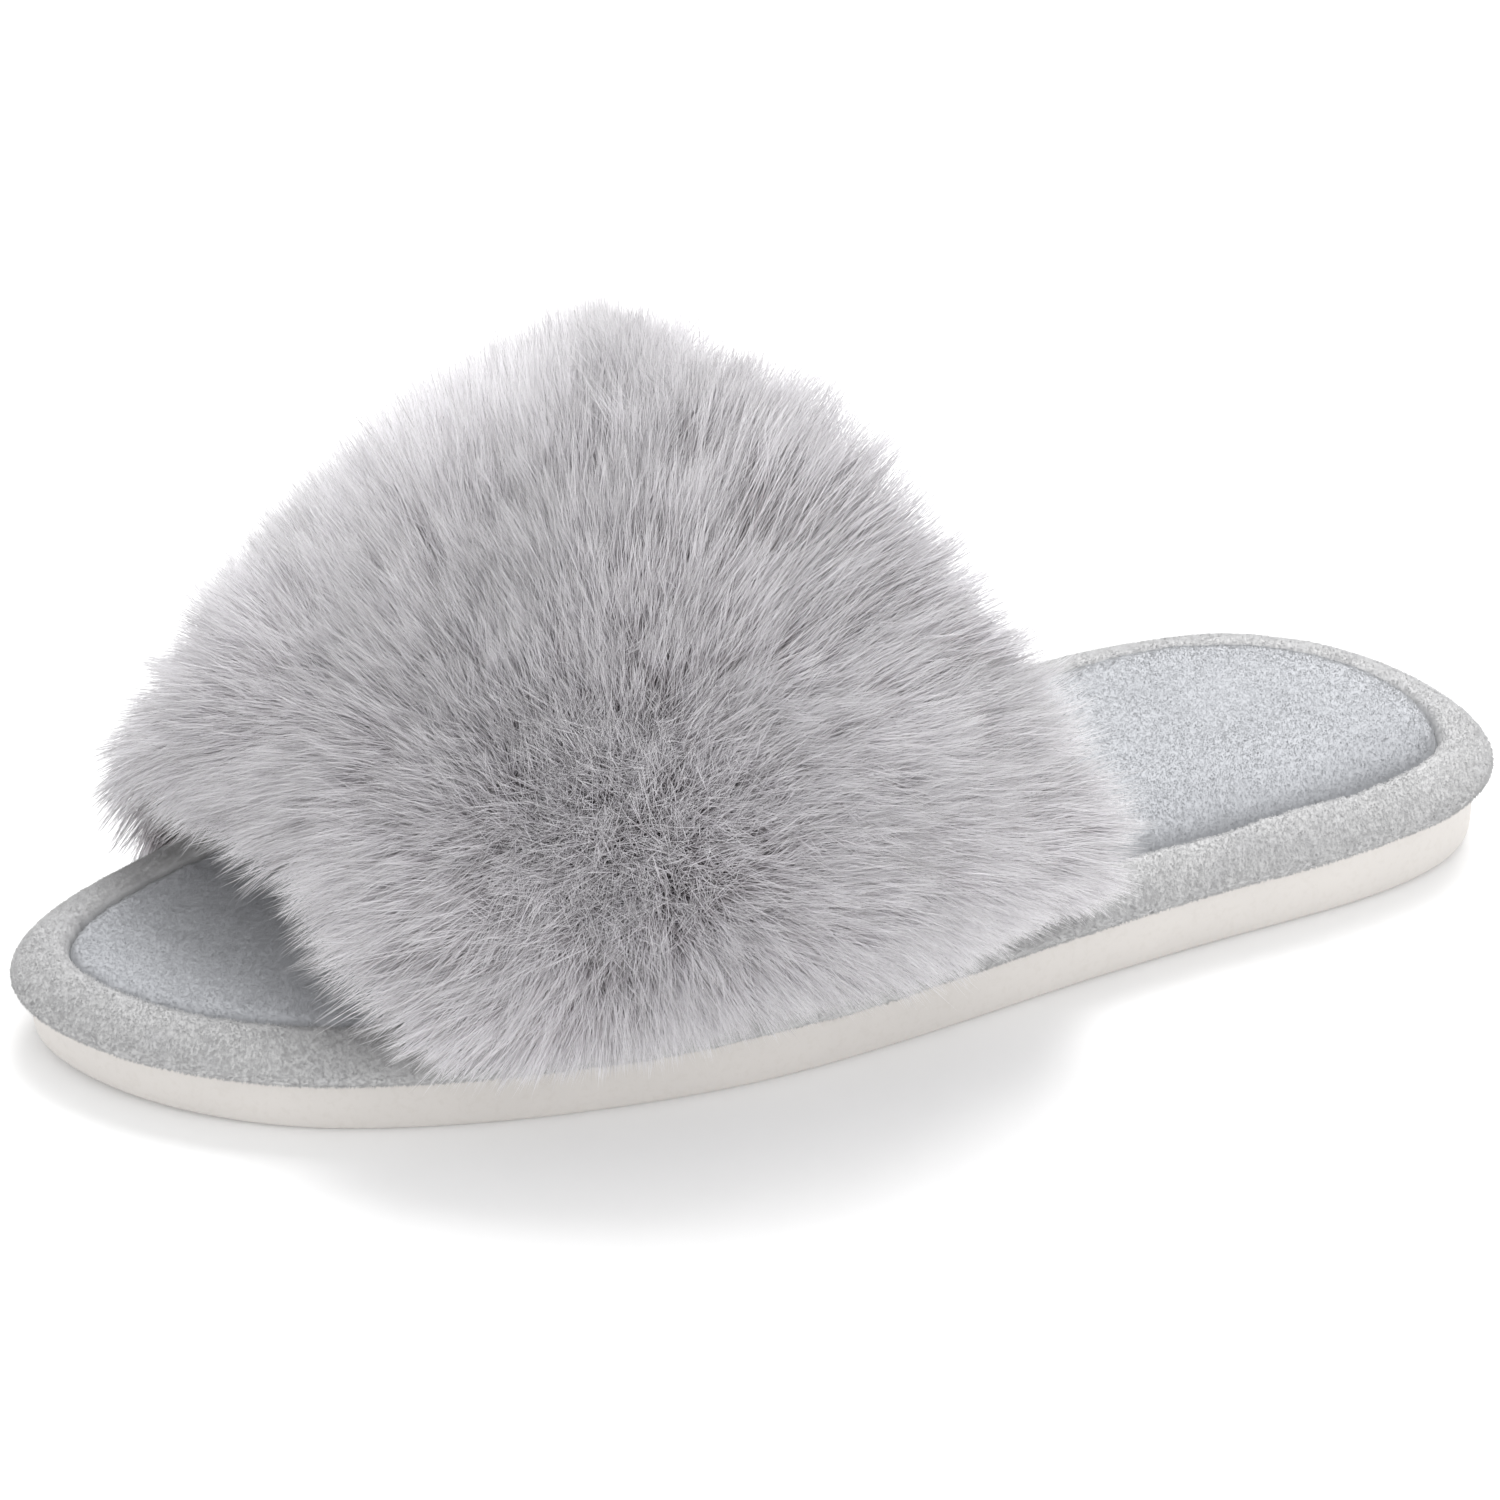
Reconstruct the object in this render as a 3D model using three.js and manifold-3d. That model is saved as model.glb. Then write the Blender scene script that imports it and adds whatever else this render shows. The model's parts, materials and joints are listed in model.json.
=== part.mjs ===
// Fluffy house slipper, left foot: open toe, open heel, faux-fur vamp over a plush
// slip-lasted footbed on a low wedge outsole. Millimetres, +Z up, toe towards -Y,
// heel towards +Y, outer (lateral) side towards +X, standing on z = 0.
import * as THREE from 'three';
import { mergeVertices } from 'three/addons/utils/BufferGeometryUtils.js';
import Module from 'manifold-3d';

const wasm = await Module();
wasm.setup();

// ---------------------------------------------------------------- dimensions
const LENGTH = 260;            // over the plush rim, toe to heel
const SOLE_TOE = 9.4;           // outsole height at the toe
const SOLE_HEEL = 12.2;         // outsole height at the heel (wedge)
const SOLE_INSET = 3.0;        // the plush rim overhangs the outsole wall by this much
const TOE_SPRING = 1.4;        // lift of the outsole's tip
const HEEL_SPRING = 0.6;
const RIM_HEIGHT = 7.4;        // plush rim above the outsole, highest beside the seam
const RIM_WIDTH = 9.2;         // outer edge of the roll to the sewn seam
const RIM_SKIN = 1.6;          // plush strip: knit plus nap
const SEAM_INSET = 10.0;       // sewn seam, measured in from the rim's outer edge
const GAP = 0.35;              // clearance between neighbouring pieces
const BOARD_T = 1.0;           // insole board
const MIDSOLE_T = 1.2;         // firm EVA layer
const COVER_T = 1.9;           // plush footbed panel: knit plus nap
const CROWN_HEEL = 6.0;        // pillowed crown of the padded footbed
const CROWN_TOE = 0.6;
const ARCH_LIFT = 1.2;         // extra padding below the arch

const VAMP_INSET = 7.0;        // fur backing's outer face, in from the rim's outer edge
const VAMP_LIFT = 8.4;         // lower edge of the vamp above the top of the outsole
const VAMP_FRONT_TOP = 39;     // crest of the vamp at its front edge
const VAMP_REAR_TOP = 92;      // crest of the vamp at its rear edge
const FRONT_Y = { medial: -87.5, top: -78, lateral: -60 };
const REAR_Y = { medial: 17, top: -15, lateral: 35.5 };
const CREST_X = -3;            // the crest lies towards the big toe
const SIDE_BULGE = 5.6;        // room for the ball of the foot
const ARCH_P = 0.55, ARCH_Q = 0.73; // how square the arch's shoulders are
const BACKING_T = 1.2;         // knitted backing of the fur fabric
const FOAM_T = 1.6;            // soft foam behind it
const LINING_T = 1.0;          // brushed lining
const PILE = 21;               // reach of the dense pile
const FLARE = 1.1;             // lean of the pile at the front and rear edges, rad
const THREAD = 0.8;            // sewing thread, with its loops

const TREAD_DEPTH = 1.0;
const TREAD_WIDTH = 2.4;

// Outer edge of the plush rim in plan, anticlockwise from the toe.
const OUTLINE = [
  [-5.9, -130.0], [6.1, -125.1], [17.6, -115.9], [27.4, -103.7], [35.0, -89.5],
  [40.4, -74.1], [44.3, -58.5], [46.9, -43.3], [48.5, -28.9], [48.9, -14.8],
  [48.1, -0.4], [46.5, 14.7], [44.4, 30.6], [42.4, 46.8], [40.9, 63.2],
  [39.9, 79.5], [38.8, 95.4], [36.1, 109.9], [30.6, 121.4], [21.3, 128.5],
  [8.7, 130.1], [-5.3, 126.3], [-18.2, 117.7], [-27.8, 105.7], [-33.0, 91.4],
  [-34.4, 75.9], [-33.3, 59.9], [-31.6, 44.0], [-30.8, 27.9], [-32.0, 11.9],
  [-35.1, -4.0], [-39.5, -19.2], [-43.6, -33.5], [-46.2, -47.2], [-46.3, -61.3],
  [-43.9, -76.8], [-39.6, -93.4], [-33.6, -109.3], [-26.1, -121.9], [-16.8, -129.1],
];

// ---------------------------------------------------------------- plan curve
const rimCurve = new THREE.CatmullRomCurve3(
  OUTLINE.map(([x, y]) => new THREE.Vector3(x, y, 0)), true, 'centripetal');

// Points of the rim's outline with their inward normals.
function rimRing(n) {
  const ring = [];
  for (let i = 0; i < n; i++) {
    const p = rimCurve.getPointAt(i / n);
    const a = rimCurve.getPointAt((i / n + 0.996) % 1);
    const b = rimCurve.getPointAt((i / n + 0.004) % 1);
    const t = new THREE.Vector3().subVectors(b, a).normalize();
    ring.push({ x: p.x, y: p.y, nx: -t.y, ny: t.x });
  }
  return ring;
}

// Rim's x limits at each y, as a table for the vamp.
const EDGE = (() => {
  const rows = [];
  const fine = rimRing(720);
  for (let y = -126; y <= 126; y += 2) {
    let lo = Infinity, hi = -Infinity;
    for (let i = 0; i < fine.length; i++) {
      const a = fine[i], b = fine[(i + 1) % fine.length];
      if ((a.y - y) * (b.y - y) <= 0 && a.y !== b.y) {
        const x = a.x + (b.x - a.x) * (y - a.y) / (b.y - a.y);
        lo = Math.min(lo, x);
        hi = Math.max(hi, x);
      }
    }
    rows.push({ y, lo, hi });
  }
  return rows;
})();
function edgeX(y, side) {
  const f = Math.min(Math.max((y + 126) / 2, 0), EDGE.length - 1.001);
  const i = Math.floor(f), k = f - i;
  return EDGE[i][side] * (1 - k) + EDGE[i + 1][side] * k;
}

// ---------------------------------------------------------------- levels
const soleTop = (y) => SOLE_TOE + (SOLE_HEEL - SOLE_TOE) * (y + LENGTH / 2) / LENGTH;
const spring = (y) => TOE_SPRING * Math.max(0, (-y - 88) / 42) ** 2
  + HEEL_SPRING * Math.max(0, (y - 96) / 34) ** 2;
// Crown of the padded footbed: pillowed at the heel, nearly flat at the toe.
function crown(x, y, s) {
  const heel = THREE.MathUtils.smoothstep(y, -20, 60);
  const arch = Math.exp(-(((y - 12) / 34) ** 2)) * THREE.MathUtils.smoothstep(-x, -6, 26);
  return (CROWN_TOE + (CROWN_HEEL - CROWN_TOE) * heel + ARCH_LIFT * arch) * (1 - s ** 6);
}

// ---------------------------------------------------------------- geometry helpers
// Merge shared vertices, keep positions only, and make the faces point outwards.
function clean(geometry) {
  const g = geometry.clone();
  for (const name of Object.keys(g.attributes)) if (name !== 'position') g.deleteAttribute(name);
  const m = mergeVertices(g, 1e-4);
  const p = m.attributes.position, idx = Array.from(m.index.array), keep = [];
  let volume = 0;
  const a = new THREE.Vector3(), b = new THREE.Vector3(), c = new THREE.Vector3();
  for (let i = 0; i < idx.length; i += 3) {
    if (idx[i] === idx[i + 1] || idx[i + 1] === idx[i + 2] || idx[i] === idx[i + 2]) continue;
    keep.push(idx[i], idx[i + 1], idx[i + 2]);
    a.fromBufferAttribute(p, idx[i]);
    b.fromBufferAttribute(p, idx[i + 1]);
    c.fromBufferAttribute(p, idx[i + 2]);
    volume += a.dot(b.cross(c));
  }
  if (volume < 0) for (let i = 0; i < keep.length; i += 3) [keep[i], keep[i + 1]] = [keep[i + 1], keep[i]];
  m.setIndex(keep);
  return m;
}

// A turned profile whose rings follow the rim's outline. Each profile row is
// { inset } from the rim or { scale } of the ring at the row's own inset, with
// a level z(x, y, scale).
function planLathe(rows, n, closed) {
  const list = closed ? [...rows, rows[0]] : rows;
  const shape = list.map((r, j) => new THREE.Vector2(closed || (j && j < list.length - 1) ? 10 + j : 0, j));
  const g = new THREE.LatheGeometry(shape, n);
  const ring = rimRing(n), p = g.attributes.position, m = list.length;
  const centre = { x: 3, y: 0 };
  for (let i = 0; i <= n; i++) {
    for (let j = 0; j < m; j++) {
      const r = list[j], q = ring[i % n], s = r.scale ?? 1;
      let x = q.x + q.nx * r.inset, y = q.y + q.ny * r.inset;
      x = centre.x + (x - centre.x) * s;
      y = centre.y + (y - centre.y) * s;
      p.setXYZ(i * m + j, x, y, r.z(x, y, s));
    }
  }
  return clean(g);
}

// ---------------------------------------------------------------- vamp surface
const lerp = THREE.MathUtils.lerp;
// Outer face of the fur backing: u runs medial to lateral, v front to rear.
function vampPoint(u, v) {
  const th = Math.PI * u, c = Math.cos(th);
  const w = 0.5 * (1 - Math.sign(c) * Math.abs(c) ** ARCH_P);
  const g = Math.max(Math.sin(th), 0) ** ARCH_Q;
  const ym = lerp(FRONT_Y.medial, REAR_Y.medial, v);
  const yl = lerp(FRONT_Y.lateral, REAR_Y.lateral, v);
  const ya = lerp(FRONT_Y.top, REAR_Y.top, v);
  const top = lerp(VAMP_FRONT_TOP, VAMP_REAR_TOP, v);
  const y = ym * (1 - w) + yl * w + (ya - (ym + yl) / 2) * g;
  const z0 = soleTop(y) + VAMP_LIFT;
  const x = (edgeX(y, 'lo') + VAMP_INSET) * (1 - w) + (edgeX(y, 'hi') - VAMP_INSET) * w
    + CREST_X * g + Math.sign(w - 0.5) * SIDE_BULGE * 4 * g * (1 - g);
  return new THREE.Vector3(x, y, z0 + (top - z0) * g);
}
function vampFrame(u, v) {
  const e = 0.012;
  const u0 = Math.min(Math.max(u, 0.02), 0.98);
  const a = vampPoint(u0 - e, v), b = vampPoint(u0 + e, v);
  const c = vampPoint(u, v - e), d = vampPoint(u, v + e);
  const tu = b.sub(a), tv = d.sub(c).normalize();
  const n = new THREE.Vector3().crossVectors(tu, tv).normalize();
  return { p: vampPoint(u, v), n, tv };
}
// Row spacing: closer together near the lower edges, where the arch turns.
const rowU = (t) => 0.5 - 0.5 * Math.cos(Math.PI * t) * (0.82 + 0.18 * Math.cos(Math.PI * t) ** 2);

// A layer of the vamp between two depths below the outer face of the backing.
function vampLayer(d0, d1, nu, nv, edge) {
  const g = new THREE.BoxGeometry(1, 1, 1, nu, nv, 1);
  const p = g.attributes.position;
  for (let i = 0; i < p.count; i++) {
    const u = rowU(p.getX(i) + 0.5), v = lerp(edge, 1 - edge, p.getY(i) + 0.5);
    const f = vampFrame(u, v);
    const q = f.p.addScaledVector(f.n, -(p.getZ(i) > 0 ? d0 : d1));
    q.z = Math.max(q.z, soleTop(q.y) + VAMP_LIFT);
    p.setXYZ(i, q.x, q.y, q.z);
  }
  return clean(g);
}

// Fur fabric: the backing with the dense part of its pile, fanned out at the
// front and rear edges and combed down over the rim at the sides.
function furPoint(u, v, reach) {
  const f = vampFrame(u, v);
  const lean = FLARE * (Math.max(0, (v - 0.7) / 0.3) ** 1.5 - Math.max(0, 1 - v / 0.3) ** 1.5);
  const dir = f.n.clone().multiplyScalar(Math.cos(lean)).addScaledVector(f.tv, Math.sin(lean));
  const h = f.p.z - soleTop(f.p.y) - VAMP_LIFT;
  const low = Math.exp(-Math.max(h, 0) / 10);
  dir.multiplyScalar(1 - 0.3 * low);
  dir.z -= 0.35 * low;
  dir.normalize();
  const q = f.p.addScaledVector(dir, reach * (1 - 0.42 * low));
  q.z = Math.max(q.z, soleTop(q.y) + VAMP_LIFT + 0.2);
  return q;
}
function furSolid(nu, nv) {
  const g = new THREE.BoxGeometry(1, 1, 1, nu, nv, 2);
  const p = g.attributes.position;
  for (let i = 0; i < p.count; i++) {
    const u = rowU(p.getX(i) + 0.5), v = p.getY(i) + 0.5, k = p.getZ(i);
    let q;
    if (k < -0.25) {
      const f = vampFrame(u, v);
      q = f.p.addScaledVector(f.n, -BACKING_T);
      q.z = Math.max(q.z, soleTop(q.y) + VAMP_LIFT);
    } else q = furPoint(u, v, k > 0.25 ? PILE : PILE * 0.42);
    p.setXYZ(i, q.x, q.y, q.z);
  }
  return clean(g);
}

// A sewing thread as a thin closed bar along a run of points, four-sided.
function threadBar(points, t, closed) {
  const curve = new THREE.CatmullRomCurve3(points, closed, 'centripetal');
  const s = new THREE.Shape();
  const h = t / 2;
  s.moveTo(-h, 0);
  s.lineTo(0, -h);
  s.lineTo(h, 0);
  s.lineTo(0, h);
  s.closePath();
  return clean(new THREE.ExtrudeGeometry(s, { steps: points.length - 1, extrudePath: curve }));
}

// ---------------------------------------------------------------- solids
const solid = (geometry) => new wasm.Manifold(new wasm.Mesh({
  numProp: 3,
  vertProperties: new Float32Array(geometry.attributes.position.array),
  triVerts: new Uint32Array(geometry.index.array),
}));
function fromSolid(s) {
  const m = s.getMesh();
  const g = new THREE.BufferGeometry();
  g.setAttribute('position', new THREE.BufferAttribute(new Float32Array(m.vertProperties), 3));
  g.setIndex(new THREE.BufferAttribute(new Uint32Array(m.triVerts), 1));
  return g;
}

// Outsole: wedge slab with a rounded lower edge and a lightly domed wall.
const flat = (dz) => (x, y) => soleTop(y) + dz;
function outsoleGeometry() {
  const n = 64;
  const body = solid(planLathe([
    { inset: SOLE_INSET, scale: 0, z: (x, y) => spring(y) },
    { inset: SOLE_INSET + 1.5, z: (x, y) => spring(y) },
    { inset: SOLE_INSET + 0.5, z: (x, y) => spring(y) + 0.4 },
    { inset: SOLE_INSET + 0.05, z: (x, y) => spring(y) + 1.5 },
    { inset: SOLE_INSET - 0.1, z: (x, y) => spring(y) * 0.5 + soleTop(y) * 0.55 },
    { inset: SOLE_INSET + 0.2, z: flat(-0.6) },
    { inset: SOLE_INSET + 0.8, z: flat(0) },
    { inset: SOLE_INSET, scale: 0, z: flat(0) },
  ], n));
  // Shallow wave-shaped tread grooves across the forefoot and the heel.
  const rows = [-96, -84, -72, -60, -48, -36, -24, 62, 74, 86, 98];
  let cut = body;
  for (const y0 of rows) {
    const lo = edgeX(y0, 'lo') + 13, hi = edgeX(y0, 'hi') - 13;
    const steps = 8, top = [], bottom = [];
    for (let i = 0; i <= steps; i++) {
      const x = lerp(lo, hi, i / steps);
      const y = y0 + 2.2 * Math.sin(i / steps * Math.PI * 4);
      top.push(new THREE.Vector2(x, y + TREAD_WIDTH / 2));
      bottom.unshift(new THREE.Vector2(x, y - TREAD_WIDTH / 2));
    }
    const groove = new THREE.ExtrudeGeometry(new THREE.Shape([...top, ...bottom]),
      { depth: TREAD_DEPTH + 4, bevelEnabled: false });
    groove.translate(0, 0, -4 + spring(y0));
    cut = cut.subtract(solid(clean(groove)));
  }
  return fromSolid(cut);
}

// Flat layer that fills the platform inside the rim roll.
function layer(inset, lo, hi, n, crownTop, crownLow) {
  return planLathe([
    { inset, scale: 0, z: (x, y, s) => soleTop(y) + lo + (crownLow ? crown(x, y, s) : 0) },
    ...(crownLow ? [{ inset, scale: 0.5 }, { inset, scale: 0.75 }, { inset, scale: 0.88 }, { inset, scale: 0.96 }]
      .map((r) => ({ ...r, z: (x, y, s) => soleTop(y) + lo + crown(x, y, s) })) : []),
    { inset, z: flat(lo) },
    { inset, z: flat(hi) },
    ...(crownTop ? [{ inset, scale: 0.96 }, { inset, scale: 0.88 }, { inset, scale: 0.75 }, { inset, scale: 0.5 }]
      .map((r) => ({ ...r, z: (x, y, s) => soleTop(y) + hi + crown(x, y, s) })) : []),
    { inset, scale: 0, z: (x, y, s) => soleTop(y) + hi + (crownTop ? crown(x, y, s) : 0) },
  ], n);
}

const board0 = GAP, board1 = board0 + BOARD_T;
const mid0 = board1 + GAP, mid1 = mid0 + MIDSOLE_T;
const cover1 = 6.9, cover0 = cover1 - COVER_T;
const pad0 = mid1 + GAP, pad1 = cover0 - GAP;

// Plush strip: rolled over the filler from below the rim up to the sewn seam.
function rimGeometry() {
  const h = RIM_HEIGHT, w = RIM_WIDTH, t = RIM_SKIN;
  const outer = [
    [w, h - 0.9], [w - 1.3, h], [6.2, h - 0.45], [4.3, h - 1.2], [2.6, h - 2.2], [1.2, h - 3.3],
    [0.3, h - 4.2], [0, 2.4], [0.5, 1.3], [1.8, 0.6], [4.4, GAP], [w, GAP],
  ];
  const inner = [
    [w, GAP + 0.9], [4.8, GAP + 1.1], [3.0, 1.75], [t, 2.6], [t + 0.5, h - 4.1],
    [t + 1.5, h - 3.35], [w * 0.52, h - t - 1.05], [w - 1.9, h - t - 0.4], [w, h - t - 0.5],
  ];
  return planLathe([...outer, ...inner].map(([inset, z]) => ({ inset, z: flat(z) })), 60, true);
}
function fillerGeometry() {
  const h = RIM_HEIGHT, w = RIM_WIDTH, t = RIM_SKIN + GAP;
  const pts = [
    [w, GAP + 1.3], [5.0, GAP + 1.5], [3.7, 2.3], [t + 0.15, 2.75], [t + 0.6, h - 4.25],
    [t + 1.6, h - 3.65], [w * 0.54, h - t - 1.05], [w - 1.9, h - t - 0.45], [w, h - t - 0.55],
  ];
  return planLathe(pts.map(([inset, z]) => ({ inset, z: flat(z) })), 60, true);
}

// Sewn seam between the rim strip and the footbed panel.
function seamGeometry() {
  const t = THREAD / 2, z = 5.3;
  const pts = [[-t, 0], [0, -t], [t, 0], [0, t]];
  return planLathe(pts.map(([a, b]) => ({ inset: SEAM_INSET + a, z: flat(z + b) })), 60, true);
}

// Row of stitching inside the vamp, along its front or rear edge.
function topstitch(v) {
  const pts = [];
  const depth = BACKING_T + GAP + FOAM_T + GAP + LINING_T + GAP + THREAD / 2;
  for (let i = 0; i <= 22; i++) {
    const u = lerp(0.07, 0.93, i / 22);
    const f = vampFrame(u, v);
    pts.push(f.p.addScaledVector(f.n, -depth));
  }
  return threadBar(pts, THREAD, false);
}

// ---------------------------------------------------------------- assembly
const slipper = new THREE.Group();
function add(name, geometry, color, roughness) {
  const mesh = new THREE.Mesh(geometry, new THREE.MeshStandardMaterial({
    color: new THREE.Color(color), roughness, metalness: 0,
  }));
  mesh.name = name;
  slipper.add(mesh);
}

const foam0 = BACKING_T + GAP, foam1 = foam0 + FOAM_T;
const lining0 = foam1 + GAP, lining1 = lining0 + LINING_T;

add('outsole', outsoleGeometry(), '#e6e2df', 0.6);
add('insole_board', layer(RIM_WIDTH + GAP + 0.3, board0, board1, 48, false, false), '#b79b78', 0.9);
add('midsole_foam', layer(RIM_WIDTH + GAP + 0.3, mid0, mid1, 48, false, false), '#d9d6d0', 0.85);
add('footbed_foam', layer(SEAM_INSET + THREAD / 2 + GAP, pad0, pad1, 56, true, false), '#efe9dc', 0.95);
add('footbed_cover', layer(SEAM_INSET + THREAD / 2 + GAP, cover0, cover1, 56, true, true), '#b4b7b8', 0.98);
add('rim_wrap', rimGeometry(), '#a9adaf', 0.98);
add('rim_filler', fillerGeometry(), '#efe9dc', 0.95);
add('rim_seam_thread', seamGeometry(), '#8d9092', 0.8);
add('vamp_faux_fur', furSolid(26, 12), '#b3afb4', 1.0);
add('vamp_foam', vampLayer(foam0, foam1, 24, 8, 0.015), '#e9e6e0', 0.95);
add('vamp_lining', vampLayer(lining0, lining1, 24, 8, 0.015), '#a4a6a8', 0.95);
add('vamp_front_topstitch', topstitch(0.05), '#8d9092', 0.8);
add('vamp_rear_topstitch', topstitch(0.955), '#8d9092', 0.8);

// Stand the slipper with the middle of its overall box on the origin.
const box = new THREE.Box3().setFromObject(slipper);
slipper.position.set(-(box.min.x + box.max.x) / 2, -(box.min.y + box.max.y) / 2, -box.min.z);

export default slipper;
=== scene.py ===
import json
import math

import bpy
import numpy as np
from mathutils import Matrix, Vector
from mathutils.kdtree import KDTree

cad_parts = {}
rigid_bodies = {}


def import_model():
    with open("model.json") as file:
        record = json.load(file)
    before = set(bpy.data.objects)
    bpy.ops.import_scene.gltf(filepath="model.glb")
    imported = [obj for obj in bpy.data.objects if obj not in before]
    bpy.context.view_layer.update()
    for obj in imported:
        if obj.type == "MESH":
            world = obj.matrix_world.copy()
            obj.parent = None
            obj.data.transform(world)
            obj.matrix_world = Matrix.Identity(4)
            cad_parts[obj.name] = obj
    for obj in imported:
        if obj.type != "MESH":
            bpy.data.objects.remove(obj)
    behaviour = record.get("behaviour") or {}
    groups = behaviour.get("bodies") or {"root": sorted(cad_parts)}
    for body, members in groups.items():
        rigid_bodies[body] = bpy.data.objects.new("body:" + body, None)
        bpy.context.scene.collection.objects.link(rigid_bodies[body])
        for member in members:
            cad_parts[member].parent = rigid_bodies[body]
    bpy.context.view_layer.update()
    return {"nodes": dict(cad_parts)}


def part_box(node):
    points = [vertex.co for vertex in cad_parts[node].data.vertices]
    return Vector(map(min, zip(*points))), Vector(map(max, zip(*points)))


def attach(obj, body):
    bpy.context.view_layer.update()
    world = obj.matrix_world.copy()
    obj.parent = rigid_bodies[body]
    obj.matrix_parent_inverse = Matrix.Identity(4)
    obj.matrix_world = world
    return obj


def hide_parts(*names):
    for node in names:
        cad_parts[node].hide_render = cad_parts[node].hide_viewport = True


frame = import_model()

# ------------------------------------------------------------------ dimensions
# The CAD part's own dimensions, in millimetres, in the slipper's plan frame.
LENGTH, SOLE_TOE, SOLE_HEEL, SOLE_INSET = 260.0, 9.4, 12.2, 3.0
TOE_SPRING, HEEL_SPRING = 1.4, 0.6
RIM_HEIGHT, RIM_WIDTH, SEAM_INSET = 7.4, 9.2, 10.0
CROWN_HEEL, CROWN_TOE, ARCH_LIFT = 6.0, 0.6, 1.2
PANEL_TOP = 6.9
VAMP_INSET, VAMP_LIFT = 7.0, 8.4
VAMP_FRONT_TOP, VAMP_REAR_TOP = 39.0, 92.0
FRONT_Y = (-87.5, -78.0, -60.0)   # medial, crest, lateral
REAR_Y = (17.0, -15.0, 35.5)
CREST_X, SIDE_BULGE, ARCH_P, ARCH_Q = -3.0, 5.6, 0.55, 0.73

OUTLINE = np.array([
    [-5.9, -130.0], [6.1, -125.1], [17.6, -115.9], [27.4, -103.7], [35.0, -89.5],
    [40.4, -74.1], [44.3, -58.5], [46.9, -43.3], [48.5, -28.9], [48.9, -14.8],
    [48.1, -0.4], [46.5, 14.7], [44.4, 30.6], [42.4, 46.8], [40.9, 63.2],
    [39.9, 79.5], [38.8, 95.4], [36.1, 109.9], [30.6, 121.4], [21.3, 128.5],
    [8.7, 130.1], [-5.3, 126.3], [-18.2, 117.7], [-27.8, 105.7], [-33.0, 91.4],
    [-34.4, 75.9], [-33.3, 59.9], [-31.6, 44.0], [-30.8, 27.9], [-32.0, 11.9],
    [-35.1, -4.0], [-39.5, -19.2], [-43.6, -33.5], [-46.2, -47.2], [-46.3, -61.3],
    [-43.9, -76.8], [-39.6, -93.4], [-33.6, -109.3], [-26.1, -121.9], [-16.8, -129.1]])


# ------------------------------------------------------------------ plan curve
def closed_resample(points, n):
    """A closed plan curve through the points, as n points evenly spaced along it."""
    z = points[:, 0] + 1j * points[:, 1]
    m, big = len(z), 4096
    f = np.fft.fft(z)
    pad = np.zeros(big, complex)
    pad[:m // 2] = f[:m // 2]
    pad[-(m // 2):] = f[-(m // 2):]
    fine = np.fft.ifft(pad) * big / m
    step = np.abs(np.diff(np.append(fine, fine[0])))
    s = np.concatenate([[0], np.cumsum(step)])
    want = np.arange(n) / n * s[-1]
    ext = np.append(fine, fine[0])
    out = np.interp(want, s, ext.real) + 1j * np.interp(want, s, ext.imag)
    return np.c_[out.real, out.imag], s[-1]


def rim_ring(n):
    p, length = closed_resample(OUTLINE, n)
    t = np.roll(p, -1, 0) - np.roll(p, 1, 0)
    t /= np.linalg.norm(t, axis=1, keepdims=True)
    return p, np.c_[-t[:, 1], t[:, 0]], length   # anticlockwise, so this points inward


_fine, _, RIM_LENGTH = rim_ring(1440)
_low, _high = _fine.min(0), _fine.max(0)
_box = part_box("rim_wrap")
OFFSET = np.array([
    (_box[0].x + _box[1].x) * 500 - (_low[0] + _high[0]) / 2,
    (_box[0].y + _box[1].y) * 500 - (_low[1] + _high[1]) / 2, 0.0])

_ys = np.arange(-126.0, 127.0, 2.0)
_lo, _hi = [], []
for _y in _ys:
    a, b = _fine, np.roll(_fine, -1, 0)
    hit = (a[:, 1] - _y) * (b[:, 1] - _y) <= 0
    a, b = a[hit], b[hit]
    d = b[:, 1] - a[:, 1]
    d[d == 0] = 1e-9
    x = a[:, 0] + (b[:, 0] - a[:, 0]) * (_y - a[:, 1]) / d
    _lo.append(x.min())
    _hi.append(x.max())
_lo, _hi = np.array(_lo), np.array(_hi)


def edge_low(y):
    return np.interp(y, _ys, _lo)


def edge_high(y):
    return np.interp(y, _ys, _hi)


def sole_top(y):
    return SOLE_TOE + (SOLE_HEEL - SOLE_TOE) * (y + LENGTH / 2) / LENGTH


def spring(y):
    return (TOE_SPRING * np.clip((-y - 88) / 42, 0, None) ** 2
            + HEEL_SPRING * np.clip((y - 96) / 34, 0, None) ** 2)


def smoothstep(x, a, b):
    t = np.clip((x - a) / (b - a), 0, 1)
    return t * t * (3 - 2 * t)


def crown(x, y, gap):
    """Rise of the padded footbed, gap millimetres in from its sewn edge."""
    heel = smoothstep(y, -20, 60)
    arch = np.exp(-(((y - 12) / 34) ** 2)) * smoothstep(-x, -6, 26)
    return (CROWN_TOE + (CROWN_HEEL - CROWN_TOE) * heel + ARCH_LIFT * arch) * (1 - np.exp(-gap / 4.6))


# ------------------------------------------------------------------ noise
def _hash(i, j, k, seed):
    h = (i * 374761393 + j * 668265263 + k * 2147483647 + seed * 974711) & 0xFFFFFFFF
    h = ((h ^ (h >> 13)) * 1274126177) & 0xFFFFFFFF
    h ^= h >> 16
    return (h & 0xFFFFFF).astype(np.float64) / 0x7FFFFF - 1.0


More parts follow.
